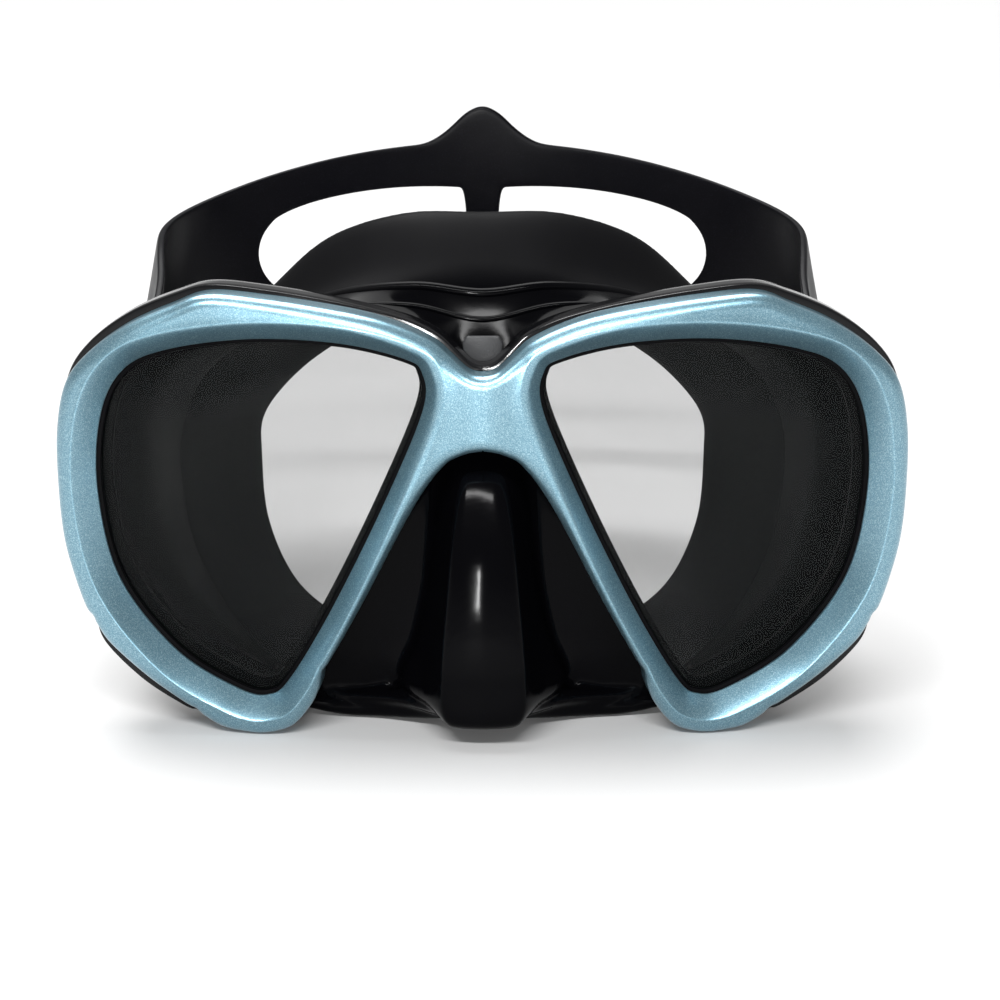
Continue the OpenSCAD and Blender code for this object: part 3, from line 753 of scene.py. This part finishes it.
def forehead_fold(name, step, reach, radius):
    """A moulded rib across the forehead, on the wall's outer line number step."""
    lines, n, wall = skirt_wall()
    path, up = lines[:, step], n[:, step]
    forehead = 60
    near = (path[:, 2] > forehead) & (np.abs(path[:, 0]) < reach)
    order = path[near, 0].argsort()
    path, up = path[near][order], up[near][order]
    ends = np.clip((reach - np.abs(path[:, 0])) / 14, 0, 1)
    thick = radius * (0.35 + 0.65 * np.sqrt(ends))
    obj = make(name, *swept(path - up * (radius * (1.15 - 0.75 * ends))[:, None], thick))
    return finished(obj, SKIRT, "mask", "skirt_silicone", "skirt")


inner_seal()
skirt()
forehead_fold("forehead_fold", 17, 46, 1.1)
forehead_fold("forehead_crease", 12, 30, 0.7)

# ---------------------------------------------------------------- strap

STRAP_HALF = 0.95
# the strap runs round the roller (radius 3) with a gap of 0.4
LOOP = 3 + 0.4 + STRAP_HALF
# The right half of the strap from its free end to the middle of the pad, as (across, depth, up,
# half width, how far its upper edge leans in).
STRAP_MARKS = ([(77.4, 89, 60.1, 10, 1.4), (77.7, 82, 58.6, 11.2, 1.4), (78.6, 74, 56.8, 11.5, 1.1),
                (80.6, 65, 54.4, 11.5, 0.5)]
               + [(78 + LOOP * math.cos(a), 57 + LOOP * math.sin(a), 53, 11.5, 0)
                  for a in np.radians(np.arange(0, -181, -22.5))]
               + [(73.8, 64, 54.2, 11.7, 0.5), (73.9, 74, 56.8, 12.4, 1.2), (74.3, 84, 59.2, 14.6, 1.9),
                  (75.6, 94, 61.2, 16.4, 3), (78, 106, 63.2, 18.2, 4), (77.4, 118, 64.9, 18.6, 2.6),
                  (73, 130, 66.2, 19, 1), (64.6, 140.5, 67.8, 19.9, 0.2), (53, 148.5, 69.4, 21.6, 0),
                  (39.5, 155, 70.8, 23.2, 0), (26, 159.6, 71.8, 24.2, 0), (13, 162.2, 72.2, 24.9, 0),
                  (0, 163, 72.4, 25, 0)])
# the right opening of the pad, as (across, up)
OPENING = [(4.2, 84.2), (5.5, 86), (20, 86.4), (34, 85.3), (46, 82.8), (53, 79.2), (56, 75),
           (56.4, 71.4), (54.6, 66.6), (49, 62.2), (36, 59.4), (20, 58.4), (5.5, 58.8), (4.2, 60.6)]


def strap_tables():
    """The distance along the strap from the middle of the pad, with (x, y, z, half width, lean) and
    the outward direction there."""
    p = np.array(STRAP_MARKS)
    line = smooth(np.vstack([p, p[-2::-1] * [-1, 1, 1, 1, 1]]), 16)[::-1]
    run = np.r_[0, np.cumsum(np.linalg.norm(np.diff(line[:, :2], axis=0), axis=1))]
    return run - run[-1] / 2, line, outward(line[:, :2])


RUN, STRAP_LINE, STRAP_SIDE = strap_tables()
# the pad's middle height, the edge of the post between its openings, their outer ends, and how
# wide and high the points above and below the post are
PAD_MIDDLE, POST_EDGE, OPENING_END = 72.4, 4.9, 51.5
POINT_REACH, POINT_RISE = 14.5, 9


def strap_at(run):
    """(x, y, z, half width, lean) and the outward direction at those distances along the strap."""
    line = np.stack([np.interp(run, RUN, STRAP_LINE[:, k]) for k in range(5)], -1)
    side = np.stack([np.interp(run, RUN, STRAP_SIDE[:, k]) for k in range(2)], -1)
    from_middle = np.clip(line[..., 0] / POINT_REACH, -1, 1)
    rise = POINT_RISE * np.cos(from_middle * math.pi / 2) ** 2
    line[..., 3] += np.where(np.abs(run) < 40, rise, 0)
    return line, side


def strap_stations(near, far):
    """Distances along the strap for the cage's columns, closer at the openings' ends and the ribs."""
    end, ribs, ribbed = RUN[-1], 1.6, 76
    half = np.r_[0, 1.6, near - 1.2, near, near + 1.2, np.linspace(near + 4, far - 4, 10),
                 far - 1.2, far, far + 1.2, far + 3.6, far + 7, np.arange(far + 11, end - ribbed, 4)]
    half = np.r_[half, np.arange(half[-1] + ribs, end - 0.6, ribs), end - 0.5, end]
    return np.r_[-half[:0:-1], half]


def strap_rows(runs, far, hole):
    """The heights of the cage's 13 rows at each column; rows 4 to 8 span the openings."""
    dist = np.abs(runs)
    line, side = strap_at(runs)
    upper, lower = hole[hole[:, 1] > PAD_MIDDLE], hole[hole[:, 1] < PAD_MIDDLE]
    upper, lower = upper[upper[:, 0].argsort()], lower[lower[:, 0].argsort()]
    x = np.clip(np.abs(line[:, 0]), POST_EDGE, OPENING_END)
    ends = np.clip((dist - far) / 22, 0, 1)
    ends = ends * ends * (3 - 2 * ends)
    top = (1 - ends) * np.interp(x, *upper.T) + ends * (line[:, 2] + 0.45 * line[:, 3])
    bottom = (1 - ends) * np.interp(x, *lower.T) + ends * (line[:, 2] - 0.45 * line[:, 3])
    # the free ends are rounded
    trim = np.interp(RUN[-1] - dist, [0, 0.5, 2, 4, 7], [3.2, 2.4, 1.1, 0.3, 0])
    high, low = line[:, 2] + line[:, 3] - trim, line[:, 2] - line[:, 3] + trim
    return np.stack([low, low + 0.8, (low + bottom) / 2, bottom - 0.8, bottom,
                     bottom + (top - bottom) * 0.2, (top + bottom) / 2, top - (top - bottom) * 0.2,
                     top, top + 0.8, (top + high) / 2, high - 0.8, high], 1)


def opening_push(runs, rows, near, far, hole):
    """How far rows 4 to 8 are pushed along the strap, to round the openings' ends."""
    dist = np.abs(runs)
    push = np.zeros_like(rows)
    for limit, fade, edge, way in ((far, 13, OPENING_END, 1), (near, 5, POST_EDGE, -1)):
        heights = rows[np.abs(dist - limit).argmin(), 4:9]
        arc = hole[hole[:, 0] > 45] if way > 0 else hole[hole[:, 0] < 8]
        arc = arc[arc[:, 1].argsort()]
        reach = np.interp(heights, arc[:, 1], arc[:, 0]) - edge
        reach[[0, -1]] = 0
        gap = (dist - limit) * way
        for k in np.flatnonzero((gap >= 0) & (gap < fade)):
            push[k, 4:9] = reach * (1 - gap[k] / fade) ** 1.3 * np.sign(runs[k])
    return push


def cage_faces(solid):
    """Quads on both sheets of a cage where solid, and along every edge between solid and not."""
    n, m = solid.shape[0] + 1, solid.shape[1] + 1
    faces = []
    for i, j in np.argwhere(solid).tolist():
        a, b, c, d = i * m + j, (i + 1) * m + j, (i + 1) * m + j + 1, i * m + j + 1
        faces += [(a, b, c, d), (d + n * m, c + n * m, b + n * m, a + n * m)]
        for (p, q), is_edge in (((a, b), j == 0 or not solid[i, j - 1]),
                                ((b, c), i == n - 2 or not solid[i + 1, j]),
                                ((c, d), j == m - 2 or not solid[i, j + 1]),
                                ((d, a), i == 0 or not solid[i - 1, j])):
            if is_edge:
                faces.append((q, p, p + n * m, q + n * m))
    return faces


def strap():
    """A cage of quads with the two pad openings left out, rounded by subdivision."""
    pad = np.linspace(0, 75, 1500)
    near, far = (float(np.interp(x, strap_at(pad)[0][:, 0], pad)) for x in (POST_EDGE, OPENING_END))
    hole = smooth(OPENING, 24, closed=True)
    runs = strap_stations(near, far)
    dist = np.abs(runs)
    rows = strap_rows(runs, far, hole)
    place, out = strap_at(runs[:, None] + opening_push(runs, rows, near, far, hole))
    lean = -np.sign(place[..., 0]) * place[..., 4] * (rows - place[..., 2]) / place[..., 3]
    # the free ends carry ribs on the outside
    from_end = RUN[-1] - dist
    rib = np.where((from_end > 2.4) & (from_end < 34) & (np.arange(len(runs)) % 2 == 0), 0.3, 0)
    edge = np.ones(rows.shape[1])
    edge[[0, -1]] = 0.8
    sheets = []
    for thick in (STRAP_HALF + rib, np.full(len(runs), -STRAP_HALF)):
        offset = thick[:, None] * edge
        x = place[..., 0] + out[..., 0] * offset + lean
        y = place[..., 1] + out[..., 1] * offset
        sheets.append(np.stack([x, y, rows], -1).reshape(-1, 3))
    solid = np.ones((len(runs) - 1, rows.shape[1] - 1), bool)
    nearest, middle = np.minimum(dist[1:], dist[:-1]), (dist[1:] + dist[:-1]) / 2
    solid[(nearest >= near - 1e-6) & (middle >= near) & (middle <= far), 4:8] = False
    obj = make("strap_band", np.vstack(sheets), cage_faces(solid))
    applied(obj, ("SUBSURF", {"levels": 2}))
    return finished(obj, STRAP, "harness", "strap_silicone", "strap")


strap()

# ---------------------------------------------------------------- buckles and small parts


def coil_spring(level, side):
    """The spring under a button; it shortens as the button goes in."""
    free, travel, turns, wire, radius = 7.0, 1.5, 6, 0.24, 1.78
    t = np.linspace(0, 1, 28 * turns + 1)
    # the end coils lie close together
    rise = np.interp(t, [0, 1 / turns, 1 - 1 / turns, 1], [wire, 0.8, free - 0.8, free - wire])
    way = 1 if level == "upper" else -1
    base = PIVOT + [-1.2, 13.6, 1.5 * way]
    angle = t * turns * 2 * math.pi
    path = base + np.stack([radius * np.cos(angle), radius * np.sin(angle), rise * way], 1)
    part = swept(path, wire, 10)
    obj = make(f"button_coil_{level}_{side}", *(part if side == "right" else flipped(part)))
    finished(obj, STEEL, "harness", "spring_steel", f"spring_{level}_{side}")
    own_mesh(obj)


refined("bridge_catch_grey", "bridge_catch", GREY, "mask", "catch_plastic", 0.35, segments=3)
refined("swivel_pins", "pivot_pins", STEEL, "mask", "pin_steel", 0.2)
for side in ("left", "right"):
    refined(f"buckle_body_{side}", f"swivel_{side}", BUCKLE, "harness", "buckle_plastic", 0.4, segments=3)
    refined(f"strap_roller_{side}", f"roller_{side}", ROLLER, f"roller_{side}", "roller_plastic", 0.25)
    refined(f"strap_pawl_{side}", f"pawl_{side}", ROLLER, f"pawl_{side}", "roller_plastic", 0.2)
    refined(f"strap_keeper_{side}", f"keeper_{side}", STRAP, "harness", "strap_silicone", 0.6, segments=3)
    for level in ("upper", "lower"):
        refined(f"squeeze_button_{level}_{side}", f"button_{level}_{side}", BUTTON,
                f"button_{level}_{side}", "button_plastic", 0.4, segments=3)
        coil_spring(level, side)

# ---------------------------------------------------------------- stage, light and camera


def placed(name, data, place=(0, 0, 0), aim=None):
    """An object at a place in metres, turned to look at aim."""
    obj = bpy.data.objects.new(name, data)
    bpy.context.scene.collection.objects.link(obj)
    obj.location = place
    if aim is not None:
        obj.rotation_euler = (Vector(aim) - Vector(place)).to_track_quat("-Z", "Y").to_euler()
    return obj


def floor():
    """A pale floor, 40 m across."""
    mesh = bpy.data.meshes.new("floor")
    mesh.from_pydata([(-20, -20, 0), (20, -20, 0), (20, 20, 0), (-20, 20, 0)], [], [(0, 1, 2, 3)])
    mesh.materials.append(material("floor_pale", (0.6, 0.6, 0.6), 0.7, Specular_IOR_Level=0.1))
    placed("floor", mesh)


def studio_sky():
    """White surroundings, brightest at the horizon, so that the floor runs into them."""
    world = bpy.data.worlds.new("studio")
    world.use_nodes = True
    nodes, links = world.node_tree.nodes, world.node_tree.links
    background = nodes["Background"]
    background.inputs["Color"].default_value = (1, 1, 1, 1)
    sky = nodes.new("ShaderNodeTexCoord")
    height = nodes.new("ShaderNodeSeparateXYZ")
    fade = nodes.new("ShaderNodeMapRange")
    fade.interpolation_type = "SMOOTHSTEP"
    fade.inputs["From Max"].default_value = 0.22
    fade.inputs["To Min"].default_value = 1.05
    fade.inputs["To Max"].default_value = 0.36
    links.new(sky.outputs["Generated"], height.inputs["Vector"])
    links.new(height.outputs["Z"], fade.inputs["Value"])
    links.new(fade.outputs["Result"], background.inputs["Strength"])
    bpy.context.scene.world = world


def overhead_sun():
    """The main light: broad and soft, from above and a little behind."""
    data = bpy.data.lights.new("overhead", "SUN")
    data.energy = 4.3
    data.angle = math.radians(45)
    placed("overhead", data).rotation_euler = (math.radians(-20), math.radians(-8), 0)


def area(name, place, aim, size, power):
    """A rectangular light."""
    data = bpy.data.lights.new(name, "AREA")
    data.shape = "RECTANGLE"
    data.size, data.size_y = size
    data.energy = power
    placed(name, data, place, aim)


def photo_camera():
    """The camera where the photograph was taken from."""
    data = bpy.data.cameras.new("camera")
    data.lens = 92.7
    data.sensor_width = 36
    aim = (0.0033, FRONT * 0.001, 0.051)
    bpy.context.scene.camera = placed("camera", data, (0, -0.56048, 0.18882), aim)


floor()
studio_sky()
overhead_sun()
area("front_softbox", (-0.12, -0.75, 0.75), (0, -0.08, 0.06), (0.7, 0.06), 9)
area("nose_strip", (-0.10, -1.15, 0.24), (0, -0.08, 0.04), (0.026, 0.22), 6)
photo_camera()
bpy.context.scene.view_settings.view_transform = "Standard"
